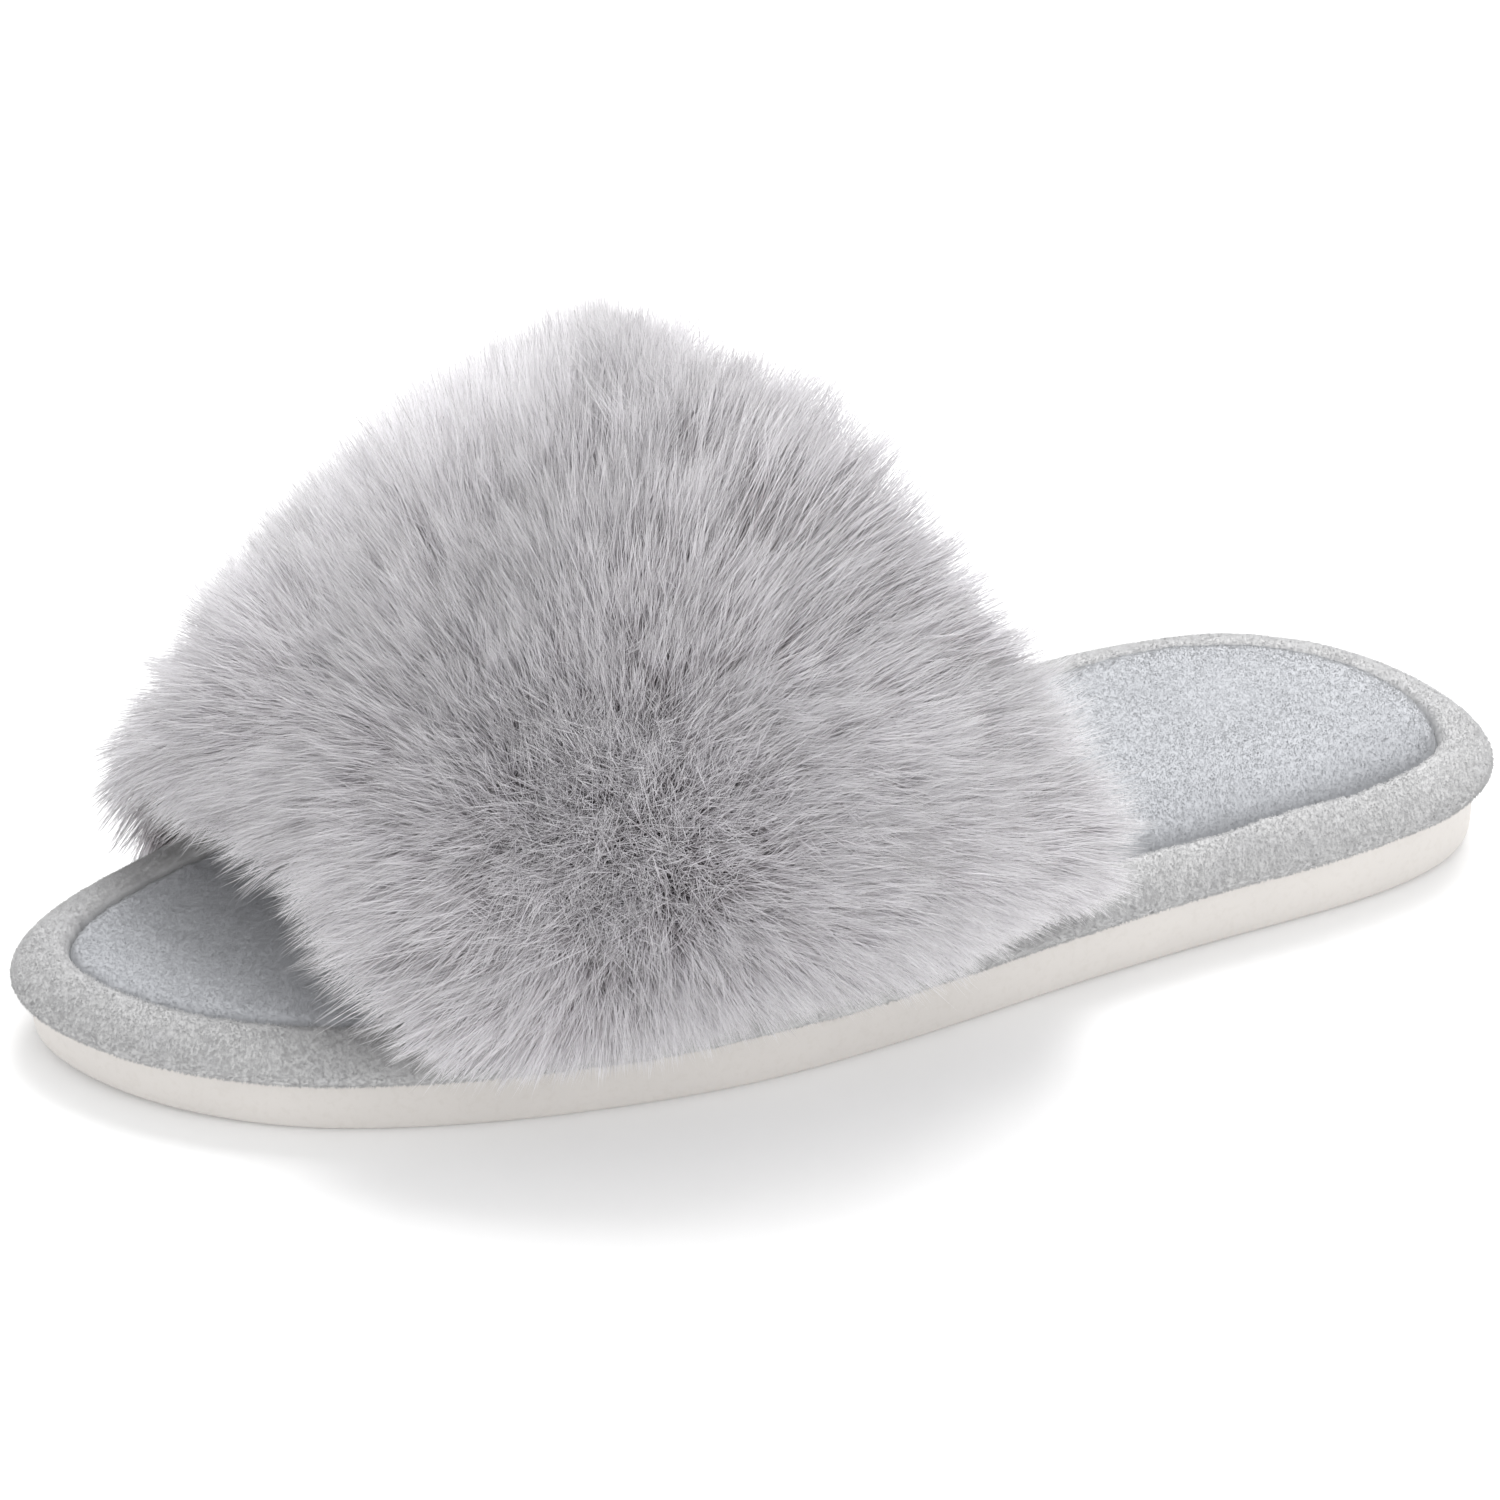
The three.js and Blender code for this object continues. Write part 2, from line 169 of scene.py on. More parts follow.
def noise(p, size, seed=0):
    """Smooth value noise from -1 to 1 with features of about that size."""
    q = np.asarray(p, float) / size
    i = np.floor(q).astype(np.int64)
    f = q - i
    f = f * f * f * (f * (f * 6 - 15) + 10)
    out = 0
    for dx in (0, 1):
        wx = f[:, 0] if dx else 1 - f[:, 0]
        for dy in (0, 1):
            wy = f[:, 1] if dy else 1 - f[:, 1]
            for dz in (0, 1):
                wz = f[:, 2] if dz else 1 - f[:, 2]
                out = out + wx * wy * wz * _hash(i[:, 0] + dx, i[:, 1] + dy, i[:, 2] + dz, seed)
    return out


def noise_vector(p, size, seed=0):
    return np.stack([noise(p, size, seed + k * 7) for k in range(3)], 1)


def unit(v):
    return v / np.maximum(np.linalg.norm(v, axis=-1, keepdims=True), 1e-12)


# ------------------------------------------------------------------ mesh making
def make_piece(name, points, faces, material, smooth=True, uv=None, uv_name="OFBake", normals=None):
    """points in millimetres in the plan frame; faces all triangles or all quads."""
    faces = np.asarray(faces, np.int32)
    k = faces.shape[1]
    me = bpy.data.meshes.new(name)
    me.vertices.add(len(points))
    me.vertices.foreach_set("co", ((points + OFFSET) * 0.001).astype(np.float32).ravel())
    me.loops.add(faces.size)
    me.loops.foreach_set("vertex_index", faces.ravel())
    me.polygons.add(len(faces))
    me.polygons.foreach_set("loop_start", np.arange(0, faces.size, k, dtype=np.int32))
    if uv is not None:
        layer = me.uv_layers.new(name=uv_name)
        layer.data.foreach_set("uv", np.asarray(uv, np.float32).ravel())
    me.update(calc_edges=True)
    me.polygons.foreach_set("use_smooth", np.full(len(faces), smooth))
    me.materials.append(material)
    if normals is not None:
        me.normals_split_custom_set_from_vertices(normals.astype(np.float32))
    ob = bpy.data.objects.new(name, me)
    bpy.context.scene.collection.objects.link(ob)
    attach(ob, "root")
    return ob


def grid_faces(rows, cols, wrap_rows=False, wrap_cols=False):
    r = np.arange(rows if wrap_rows else rows - 1)
    c = np.arange(cols if wrap_cols else cols - 1)
    R, C = np.meshgrid(r, c, indexing="ij")
    R1, C1 = (R + 1) % rows, (C + 1) % cols
    return np.stack([R * cols + C, R1 * cols + C, R1 * cols + C1, R * cols + C1], -1).reshape(-1, 4)


def grid_normals(P):
    """Unit normals of a (rows, cols, 3) grid, open on both sides."""
    return unit(np.cross(np.gradient(P, axis=0), np.gradient(P, axis=1)))


def spline(points, n, closed=False):
    """A smooth curve through the points (Catmull-Rom), as n points evenly spaced along it."""
    P = np.asarray(points, float)
    m = len(P)
    if closed:
        idx = np.arange(m)
        P0, P1, P2, P3 = P[idx - 1], P[idx], P[(idx + 1) % m], P[(idx + 2) % m]
    else:
        E = np.vstack([2 * P[0] - P[1], P, 2 * P[-1] - P[-2]])
        P0, P1, P2, P3 = E[:-3], E[1:-2], E[2:-1], E[3:]
    t = np.linspace(0, 1, 24, endpoint=False)[:, None, None]
    C = 0.5 * (2 * P1 + (P2 - P0) * t + (2 * P0 - 5 * P1 + 4 * P2 - P3) * t ** 2
               + (3 * P1 - P0 - 3 * P2 + P3) * t ** 3)
    C = C.transpose(1, 0, 2).reshape(-1, P.shape[1])
    C = np.vstack([C, C[:1] if closed else P[-1:]])
    s = np.concatenate([[0], np.cumsum(np.linalg.norm(np.diff(C, axis=0), axis=1))])
    want = np.linspace(0, s[-1], n + 1)[:-1] if closed else np.linspace(0, s[-1], n)
    return np.stack([np.interp(want, s, C[:, k]) for k in range(P.shape[1])], 1)


# ------------------------------------------------------------------ materials
def srgb(r, g, b):
    c = np.array([r, g, b]) / 255
    c = np.where(c <= 0.04045, c / 12.92, ((c + 0.055) / 1.055) ** 2.4)
    return (*[float(v) for v in c], 1.0)


def new_material(name):
    m = bpy.data.materials.new(name)
    m.use_nodes = True
    nt = m.node_tree
    return m, nt, nt.nodes["Principled BSDF"]


def node(nt, kind, **inputs):
    n = nt.nodes.new(kind)
    for k, v in inputs.items():
        if k in n.inputs:
            n.inputs[k].default_value = v
        else:
            setattr(n, k, v)
    return n


def ramp(nt, factor, stops, interpolation="LINEAR"):
    n = nt.nodes.new("ShaderNodeValToRGB")
    n.color_ramp.interpolation = interpolation
    e = n.color_ramp.elements
    while len(e) < len(stops):
        e.new(0.5)
    for item, (pos, col) in zip(e, stops):
        item.position, item.color = pos, col
    nt.links.new(factor, n.inputs[0])
    return n.outputs["Color"]


def mix(nt, kind, factor, a, b):
    n = nt.nodes.new("ShaderNodeMix")
    n.data_type, n.blend_type = "RGBA", kind
    for sock, val in ((n.inputs[0], factor), (n.inputs[6], a), (n.inputs[7], b)):
        if hasattr(val, "is_output"):
            nt.links.new(val, sock)
        else:
            sock.default_value = val
    return n.outputs[2]


def noise_node(nt, scale, detail=3.0, rough=0.55, vector=None, distortion=0.0):
    n = node(nt, "ShaderNodeTexNoise", Scale=scale, Detail=detail, Roughness=rough, Distortion=distortion)
    if vector is None:
        vector = nt.nodes.new("ShaderNodeTexCoord").outputs["Object"]
    nt.links.new(vector, n.inputs["Vector"])
    return n.outputs["Fac"]


def bump(nt, bsdf, height, strength, distance):
    n = node(nt, "ShaderNodeBump", Strength=strength, Distance=distance)
    nt.links.new(height, n.inputs["Height"])
    nt.links.new(n.outputs["Normal"], bsdf.inputs["Normal"])


def strand_material(name, stops, tones, rough=0.55, sheen=0.0):
    """Colour runs along each hair from root to tip; each hair has its own tone."""
    m, nt, bsdf = new_material(name)
    uvn = node(nt, "ShaderNodeUVMap", uv_map="OFBake")
    sep = nt.nodes.new("ShaderNodeSeparateXYZ")
    nt.links.new(uvn.outputs["UV"], sep.inputs[0])
    along = ramp(nt, sep.outputs["Y"], stops)
    tone = ramp(nt, sep.outputs["X"], tones)
    nt.links.new(mix(nt, "MULTIPLY", 1.0, along, tone), bsdf.inputs["Base Color"])
    bsdf.inputs["Roughness"].default_value = rough
    bsdf.inputs["Specular IOR Level"].default_value = 0.25
    bsdf.inputs["Sheen Weight"].default_value = sheen
    bsdf.inputs["Sheen Roughness"].default_value = 0.5
    return m


def plush_material(name, base, dark, light, seed=0.0):
    """Short-nap velour: brushed patches, fine fibre speckle, soft sheen."""
    m, nt, bsdf = new_material(name)
    co = nt.nodes.new("ShaderNodeTexCoord").outputs["Object"]
    mp = node(nt, "ShaderNodeMapping")
    mp.inputs["Location"].default_value = (seed, seed * 0.7, 0)
    nt.links.new(co, mp.inputs["Vector"])
    v = mp.outputs["Vector"]
    patches = noise_node(nt, 70.0, 3.0, 0.6, v, 0.6)
    c1 = ramp(nt, patches, [(0.34, dark), (0.5, base), (0.68, light)])
    fibre = noise_node(nt, 1500.0, 2.0, 0.7, v)
    c2 = ramp(nt, fibre, [(0.28, (0.80, 0.80, 0.80, 1)), (0.5, (1, 1, 1, 1)), (0.72, (1.0, 1.0, 1.0, 1))])
    nt.links.new(mix(nt, "MULTIPLY", 0.4, c1, c2), bsdf.inputs["Base Color"])
    bsdf.inputs["Roughness"].default_value = 0.95
    bsdf.inputs["Specular IOR Level"].default_value = 0.1
    bsdf.inputs["Sheen Weight"].default_value = 0.35
    bsdf.inputs["Sheen Roughness"].default_value = 0.45
    nap = noise_node(nt, 900.0, 3.0, 0.65, v)
    bump(nt, bsdf, nap, 0.3, 0.0004)
    return m


def sole_material():
    m, nt, bsdf = new_material("outsole_rubber")
    a = noise_node(nt, 25.0, 2.0)
    c = ramp(nt, a, [(0.3, srgb(214, 210, 206)), (0.7, srgb(221, 217, 213))])
    speck = noise_node(nt, 700.0, 2.0, 0.6)
    c2 = ramp(nt, speck, [(0.30, (0.965, 0.962, 0.955, 1)), (0.5, (1, 1, 1, 1))])
    nt.links.new(mix(nt, "MULTIPLY", 1.0, c, c2), bsdf.inputs["Base Color"])
    bsdf.inputs["Roughness"].default_value = 0.62
    bsdf.inputs["Specular IOR Level"].default_value = 0.35
    fine = noise_node(nt, 1300.0, 3.0, 0.6)
    bump(nt, bsdf, fine, 0.18, 0.0002)
    return m


def knit_material(name, base, dark):
    m, nt, bsdf = new_material(name)
    co = nt.nodes.new("ShaderNodeTexCoord").outputs["Object"]
    a = noise_node(nt, 60.0, 3.0, 0.6, co)
    c = ramp(nt, a, [(0.3, dark), (0.7, base)])
    v = node(nt, "ShaderNodeTexVoronoi", Scale=1100.0)
    nt.links.new(co, v.inputs["Vector"])
    c2 = ramp(nt, v.outputs["Distance"], [(0.0, (1, 1, 1, 1)), (0.7, (0.72, 0.72, 0.72, 1))])
    nt.links.new(mix(nt, "MULTIPLY", 0.7, c, c2), bsdf.inputs["Base Color"])
    bsdf.inputs["Roughness"].default_value = 0.95
    bsdf.inputs["Specular IOR Level"].default_value = 0.1
    bsdf.inputs["Sheen Weight"].default_value = 0.25
    bump(nt, bsdf, v.outputs["Distance"], 0.4, 0.0003)
    return m


def thread_material():
    m, nt, bsdf = new_material("sewing_thread")
    w = node(nt, "ShaderNodeTexWave", Scale=900.0, Distortion=1.0)
    co = nt.nodes.new("ShaderNodeTexCoord").outputs["Object"]
    nt.links.new(co, w.inputs["Vector"])
    c = ramp(nt, w.outputs["Fac"], [(0.0, srgb(108, 111, 113)), (1.0, srgb(150, 153, 155))])
    nt.links.new(c, bsdf.inputs["Base Color"])
    bsdf.inputs["Roughness"].default_value = 0.7
    return m


# Colour along each hair runs from a dark root to a near-white tip. This is partly the fur's own tipped colour and
# partly painted shade deep in the pile between the hairs.
FUR = strand_material("faux_fur_hair", [
    (0.0, srgb(112, 105, 106)), (0.32, srgb(156, 149, 151)), (0.56, srgb(219, 214, 217)),
    (0.76, srgb(251, 249, 253)), (1.0, srgb(255, 254, 255))],
    [(0.0, (0.56, 0.55, 0.55, 1)), (0.35, (0.90, 0.895, 0.90, 1)), (1.0, (1, 1, 1, 1))],
    rough=0.5, sheen=0.0)
# The nap strands run a little darker at the root than at the tip. This is partly the fabric's own colour and partly
# painted shade between the fibres.
NAP_RIM = strand_material("rim_nap", [
    (0.0, srgb(184, 184, 185)), (0.5, srgb(196, 196, 197)), (1.0, srgb(207, 207, 207))],
    [(0.0, (0.89, 0.89, 0.89, 1)), (1.0, (1, 1, 1, 1))], rough=0.85, sheen=0.2)
NAP_PANEL = strand_material("panel_nap", [
    (0.0, srgb(181, 183, 187)), (0.5, srgb(188, 190, 194)), (1.0, srgb(195, 197, 201))],
    [(0.0, (0.94, 0.94, 0.94, 1)), (1.0, (1, 1, 1, 1))], rough=0.85, sheen=0.2)
FUR_BACK = knit_material("fur_backing_knit", srgb(168, 164, 168), srgb(150, 146, 150))
RIM_PLUSH = plush_material("rim_plush", srgb(195, 195, 195), srgb(190, 190, 191), srgb(200, 200, 200), 0.3)
PANEL_PLUSH = plush_material("panel_plush", srgb(187, 189, 193), srgb(182, 184, 188), srgb(191, 193, 197), 1.7)
LINING = knit_material("lining_knit", srgb(196, 199, 202), srgb(178, 181, 184))
SOLE = sole_material()
THREAD = thread_material()

# ------------------------------------------------------------------ outsole
N_SOLE = 560


def sole_piece():
    ring, inward, _ = rim_ring(N_SOLE)
    centre = np.array([3.0, 0.0])
    side = spline([  # inset from the rim, level: 0 at the ground, 1 at the top of the sole
        [SOLE_INSET + 1.9, 0.0], [SOLE_INSET + 1.2, 0.006], [SOLE_INSET + 0.45, 0.05], [SOLE_INSET + 0.1, 0.14],
        [SOLE_INSET - 0.05, 0.35], [SOLE_INSET, 0.7], [SOLE_INSET + 0.1, 0.93],
        [SOLE_INSET + 0.3, 0.985], [SOLE_INSET + 0.9, 1.0]], 34)
    rows = []
    for s in (0.0, 0.25, 0.5, 0.75, 0.9):
        rows.append((SOLE_INSET + 1.9, 0.0, s))
    rows += [(a, b, 1.0) for a, b in side]
    for s in (0.9, 0.5, 0.0):
        rows.append((SOLE_INSET + 0.9, 1.0, s))
    P = []
    for inset, level, s in rows:
        q = centre + (ring + inward * inset - centre) * s
        low, top = spring(q[:, 1]), sole_top(q[:, 1])
        P.append(np.c_[q, low + (top - low) * level])
    P = np.array(P)
    m, n = len(rows), N_SOLE
    pts = np.vstack([P[0, :1], P[1:-1].reshape(-1, 3), P[-1, :1]])
    body = grid_faces(m - 2, n, wrap_cols=True) + 1
    quads = body[:, ::-1]
    c = np.arange(n)
    first = np.c_[np.zeros(n, int), 1 + c, 1 + (c + 1) % n]
    last_row = 1 + (m - 3) * n
    last = np.c_[np.full(n, len(pts) - 1), last_row + (c + 1) % n, last_row + c]
    tris = np.vstack([quads[:, [0, 1, 2]], quads[:, [0, 2, 3]], first[:, ::-1], last[:, ::-1]])
    a, b, d = (pts[tris[:, k]] for k in range(3))
    if (a * np.cross(b, d)).sum() < 0:
        tris = tris[:, ::-1]
    ob = make_piece("outsole_moulded", pts, tris, SOLE)
    # Wave-shaped tread grooves under the forefoot and the heel.
    cutters = []
    for y0 in (-96, -84, -72, -60, -48, -36, -24, 62, 74, 86, 98):
        lo, hi = edge_low(y0) + 13, edge_high(y0) - 13
        x = np.linspace(lo, hi, 49)
        y = y0 + 2.2 * np.sin((x - lo) / (hi - lo) * np.pi * 4)
        w = 1.2 * np.sqrt(np.clip(1 - np.abs((x - (lo + hi) / 2) / ((hi - lo) / 2)) ** 14, 0.02, 1))
        z1 = 1.0 + spring(np.array([float(y0)]))[0]
        sec = [(-1.25, -3.0), (-1.25, z1 - 0.7), (-0.8, z1), (0.8, z1), (1.25, z1 - 0.7), (1.25, -3.0)]
        G = np.stack([np.c_[x, y + k * w / 1.25, np.full_like(x, z)] for k, z in sec], 1)
        f = grid_faces(len(x), len(sec), wrap_cols=True)
        n_ = len(x) * len(sec)
        tri = np.vstack([f[:, [0, 1, 2]], f[:, [0, 2, 3]]])
        k = len(sec)
        caps = [[0, i, i + 1] for i in range(1, k - 1)] + [[n_ - k, n_ - k + i + 1, n_ - k + i] for i in range(1, k - 1)]
        tri = np.vstack([tri, np.array(caps)])
        V = G.reshape(-1, 3)
        a, b, d = (V[tri[:, j]] for j in range(3))
        if (a * np.cross(b, d)).sum() < 0:
            tri = tri[:, ::-1]
        cutters.append((V, tri))
    base, pts_all, tri_all = 0, [], []
    for V, tri in cutters:
        pts_all.append(V)
        tri_all.append(tri + base)
        base += len(V)
    cut = bpy.data.objects.new("cutter", bpy.data.meshes.new("cutter"))
    cut.data.from_pydata(((np.vstack(pts_all) + OFFSET) * 0.001).tolist(), [], np.vstack(tri_all).tolist())
    bpy.context.scene.collection.objects.link(cut)
    mod = ob.modifiers.new("tread", "BOOLEAN")
    mod.operation, mod.solver, mod.object = "DIFFERENCE", "EXACT", cut
    bpy.context.view_layer.update()
    ev = ob.evaluated_get(bpy.context.evaluated_depsgraph_get())
    me = bpy.data.meshes.new_from_object(ev)
    ob.modifiers.clear()
    ob.data = me
    bpy.data.objects.remove(cut)
    # Round walls shade smoothly, groove edges stay crisp.
    me.polygons.foreach_set("use_smooth", np.ones(len(me.polygons), bool))
    me.set_sharp_from_angle(angle=math.radians(32))
    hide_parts("outsole")
    return ob


sole = sole_piece()


# ------------------------------------------------------------------ plush rim
def pucker(along, seed):
    """Uneven small gathers along a sewn seam, from -1 to 1."""
    q = np.c_[along, np.zeros_like(along), np.zeros_like(along)]
    return 0.6 * noise(q, 2.6, seed) + 0.4 * noise(q, 1.3, seed + 3)


def rim_piece():
    n, m = 1000, 72
    ring, inward, length = rim_ring(n)
    h, w = RIM_HEIGHT, RIM_WIDTH
    sec = spline([
        [w + 0.6, h - 3.3], [w + 0.45, h - 1.8], [w - 0.1, h - 0.55], [w - 1.5, h + 0.05], [6.0, h - 0.3],
        [4.1, h - 1.05], [2.4, h - 2.15], [1.0, h - 3.35], [0.2, h - 4.4], [0.05, 2.1], [0.6, 1.15],
        [2.0, 0.5], [4.4, 0.3], [w, 0.3], [w + 0.5, 1.6]], m, True)
    d = np.roll(sec, -1, 0) - np.roll(sec, 1, 0)
    d = unit(d)
    nrm = np.c_[d[:, 1], -d[:, 0]]       # in (inset, z)
    centre = sec.mean(0)
    if ((sec - centre) * nrm).sum() < 0:
        nrm = -nrm
    P = np.zeros((n, m, 3))
    P[:, :, :2] = ring[:, None] + inward[:, None] * sec[None, :, :1]
    P[:, :, 2] = sole_top(P[:, :, 1]) + sec[None, :, 1]
    N = np.zeros_like(P)
    N[:, :, :2] = inward[:, None] * nrm[None, :, :1]
    N[:, :, 2] = nrm[None, :, 1]
    flat = P.reshape(-1, 3)
    along = np.repeat(np.arange(n) / n * length, m)
    inset = np.tile(sec[:, 0], n)
    up = np.tile(sec[:, 1] > h * 0.5, n)
    disp = (0.26 * noise(flat, 17, 1) + 0.09 * noise(flat, 6.5, 2) + 0.03 * noise(flat, 2.4, 3))
    near_seam = np.where(up, np.exp(-((inset - w) / 2.6) ** 2), 0)
    disp += 0.24 * pucker(along, 11) * near_seam
    bottom = np.where(~up, smoothstep(inset, 0.5, 3.0), 0)   # it lies on the sole there
    disp *= 1 - bottom
    flat = flat + N.reshape(-1, 3) * disp[:, None]
    f = grid_faces(n, m, True, True)
    a, b, c = flat[f[:, 0]], flat[f[:, 1]], flat[f[:, 2]]
    e = flat[f[:, 3]]
    vol = (a * np.cross(b, c)).sum() + (a * np.cross(c, e)).sum()
    if vol < 0:
        f = f[:, ::-1]
    ob = make_piece("rim_plush_roll", flat, f, RIM_PLUSH)
    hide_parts("rim_wrap", "rim_filler")
    return ob, flat.reshape(n, m, 3), unit(N)


rim, RIM_P, RIM_N = rim_piece()


# ------------------------------------------------------------------ footbed panel
def panel_surface(n, rings):
    """Top of the padded panel as rings of points from its sewn edge to the middle."""
    ring, inward, length = rim_ring(n)
    centre = np.array([3.0, 0.0])
    edge = ring + inward * SEAM_INSET
    P = []
    for d, s in rings:
        q = centre + (edge + inward * d - centre) * s
        P.append(q)
    q = np.array(P)
    # distance in from the seam, taken square to it
    full = np.array([np.sqrt(((row[:, None] - edge[None]) ** 2).sum(2).min(1)) for row in q])
    roll = np.clip(1 - full / 2.2, 0, 1)
    x, y = q[:, :, 0], q[:, :, 1]
    z = sole_top(y) + PANEL_TOP + crown(x, y, full) - 2.0 * (1 - np.sqrt(np.clip(1 - roll ** 2, 0, 1)))
    return q, z, full, length


def panel_piece():
    n = 720
    rings = [(d, 1.0) for d in (0.0, 0.12, 0.35, 0.7, 1.1, 1.6, 2.1, 2.7, 3.3, 4.0, 4.7, 5.5, 6.4)]
    rings += [(6.4, s) for s in np.linspace(0.975, 0.004, 76)]
    q, z, full, length = panel_surface(n, rings)
    m = len(rings)
    top = np.concatenate([q, z[:, :, None]], 2)
    flat = top.reshape(-1, 3)
    along = np.tile(np.arange(n) / n * length, m)
    near = np.exp(-(full.ravel() / 4.2) ** 2)
    disp = (0.34 * noise(flat, 26, 21) + 0.16 * noise(flat, 8, 22) + 0.07 * noise(flat, 2.6, 23)
            + 0.05 * noise(flat, 1.2, 24))
    disp += 0.30 * pucker(along, 31) * near
    disp *= smoothstep(full.ravel(), -0.2, 1.2)
    flat = flat + np.array([0, 0, 1.0]) * disp[:, None]
    top = flat.reshape(m, n, 3)
    # skirt down into the seam, then a plain underside
    low = []
    for dz, k in ((-1.0, 0.05), (-2.0, 0.15)):
        r = top[0].copy()
        r[:, 2] += dz
        low.append(r)
    under = []
    for s in (0.9, 0.5):
        r = low[-1].copy()
        r[:, :2] = np.array([3.0, 0.0]) + (r[:, :2] - np.array([3.0, 0.0])) * s
        r[:, 2] = sole_top(r[:, 1]) + PANEL_TOP - 4.2
        under.append(r)
    rows = [under[1], under[0], low[1], low[0], *top]
    G = np.array(rows)
    mid_low = np.array([[3.0, 0.0, float(sole_top(0.0)) + PANEL_TOP - 4.2]])
    mid_top = np.array([[3.0, 0.0, float(top[-1][:, 2].mean())]])
    pts = np.vstack([G.reshape(-1, 3), mid_low, mid_top])
    R = len(rows)
    f = grid_faces(R, n, wrap_cols=True)
    c = np.arange(n)
    t0 = np.c_[np.full(n, R * n), (c + 1) % n, c]
    t1 = np.c_[np.full(n, R * n + 1), (R - 1) * n + c, (R - 1) * n + (c + 1) % n]
    tri = np.vstack([f[:, [0, 1, 2]], f[:, [0, 2, 3]], t0, t1])
    a, b, d = (pts[tri[:, k]] for k in range(3))
    if (a * np.cross(b, d)).sum() < 0:
        tri = tri[:, ::-1]
    ob = make_piece("footbed_panel", pts, tri, PANEL_PLUSH)
    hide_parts("footbed_cover", "footbed_foam")
    return ob, top


panel, PANEL_P = panel_piece()


# ------------------------------------------------------------------ vamp surface
def vamp_point(u, v):
    th = np.pi * u
    c = np.cos(th)
    w = 0.5 * (1 - np.sign(c) * np.abs(c) ** ARCH_P)
    g = np.clip(np.sin(th), 0, None) ** ARCH_Q
    ym = FRONT_Y[0] + (REAR_Y[0] - FRONT_Y[0]) * v
    ya = FRONT_Y[1] + (REAR_Y[1] - FRONT_Y[1]) * v
    yl = FRONT_Y[2] + (REAR_Y[2] - FRONT_Y[2]) * v
    top = VAMP_FRONT_TOP + (VAMP_REAR_TOP - VAMP_FRONT_TOP) * v
    y = ym * (1 - w) + yl * w + (ya - (ym + yl) / 2) * g
    z0 = sole_top(y) + VAMP_LIFT
    x = ((edge_low(y) + VAMP_INSET) * (1 - w) + (edge_high(y) - VAMP_INSET) * w + CREST_X * g
         + np.sign(w - 0.5) * SIDE_BULGE * 4 * g * (1 - g))
    return np.stack([x, y, z0 + (top - z0) * g], -1)


def vamp_frame(u, v):
    e = 0.012
    u0 = np.clip(u, 0.02, 0.98)
    tu = vamp_point(u0 + e, v) - vamp_point(u0 - e, v)
    tv = unit(vamp_point(u, v + e) - vamp_point(u, v - e))
    n = unit(np.cross(tu, tv))
    return vamp_point(u, v), n, tv, unit(tu)


def row_u(t):
    c = np.cos(np.pi * t)
    return 0.5 - 0.5 * c * (0.82 + 0.18 * c ** 2)


def shell_piece(name, path, nu, material):
    """A closed cloth layer swept across the arch: path is a closed loop of (v, depth)."""
    u = row_u(np.linspace(0.0, 1.0, nu))
    path = np.asarray(path, float)
    m = len(path)
    P = np.zeros((nu, m, 3))
    for j, (v, depth) in enumerate(path):
        p, n, tv, tu = vamp_frame(u, np.full(nu, np.clip(v, 0, 1)))
        over = v - np.clip(v, 0, 1)
        q = p - n * depth + tv * over * 90
        q[:, 2] = np.maximum(q[:, 2], sole_top(q[:, 1]) + VAMP_LIFT - 0.6)
        P[:, j] = q
    pts = P.reshape(-1, 3)
    f = grid_faces(nu, m, wrap_cols=True)
    cap0 = np.arange(m)
    tri = np.vstack([f[:, [0, 1, 2]], f[:, [0, 2, 3]]])
    c0 = P[0].mean(0)
    c1 = P[-1].mean(0)
    pts = np.vstack([pts, c0, c1])
    i0, i1 = len(pts) - 2, len(pts) - 1
    t0 = np.c_[np.full(m, i0), (cap0 + 1) % m, cap0]
    t1 = np.c_[np.full(m, i1), (nu - 1) * m + cap0, (nu - 1) * m + (cap0 + 1) % m]
    tri = np.vstack([tri, t0, t1])
    a, b, d = (pts[tri[:, k]] for k in range(3))
    if (a * np.cross(b, d)).sum() < 0:
        tri = tri[:, ::-1]
    return make_piece(name, pts, tri, material)


def backing_piece():
    """Knitted backing of the fur fabric, its front and rear edges turned under."""
    outer = [(v, 0.0) for v in np.linspace(0.0, 1.0, 60)]
    turn = lambda v0, s: [(v0 + s * 0.022 * math.sin(a), 2.2 - 2.2 * math.cos(a)) for a in np.linspace(0.2, math.pi, 9)]
    back = [(v, 4.4) for v in np.linspace(1.0, 0.955, 3)[1:]]
    inside = [(v, 3.3) for v in (0.952, 0.97)] + [(1.005, 2.2)]
    under = [(v, 1.1) for v in np.linspace(0.985, 0.015, 40)]
    inside2 = [(-0.005, 2.2), (0.03, 3.3), (0.048, 3.3)]
    back2 = [(v, 4.4) for v in np.linspace(0.045, 0.0, 3)[:-1]]
    front = turn(0.0, -1)[::-1]
    return shell_piece("fur_fabric_backing", outer + turn(1.0, 1) + back + inside + under + inside2 + back2 + front,
                       200, FUR_BACK)


backing = backing_piece()
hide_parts("vamp_faux_fur", "vamp_foam")


def lining_piece():
    vs = np.linspace(0.03, 0.97, 60)
    path = [(v, 3.9 + 0.0 * v) for v in vs] + [(v, 4.75) for v in vs[::-1]]
    ob = shell_piece("vamp_lining_cloth", path, 200, LINING)
    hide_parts("vamp_lining")
    return ob


lining = lining_piece()


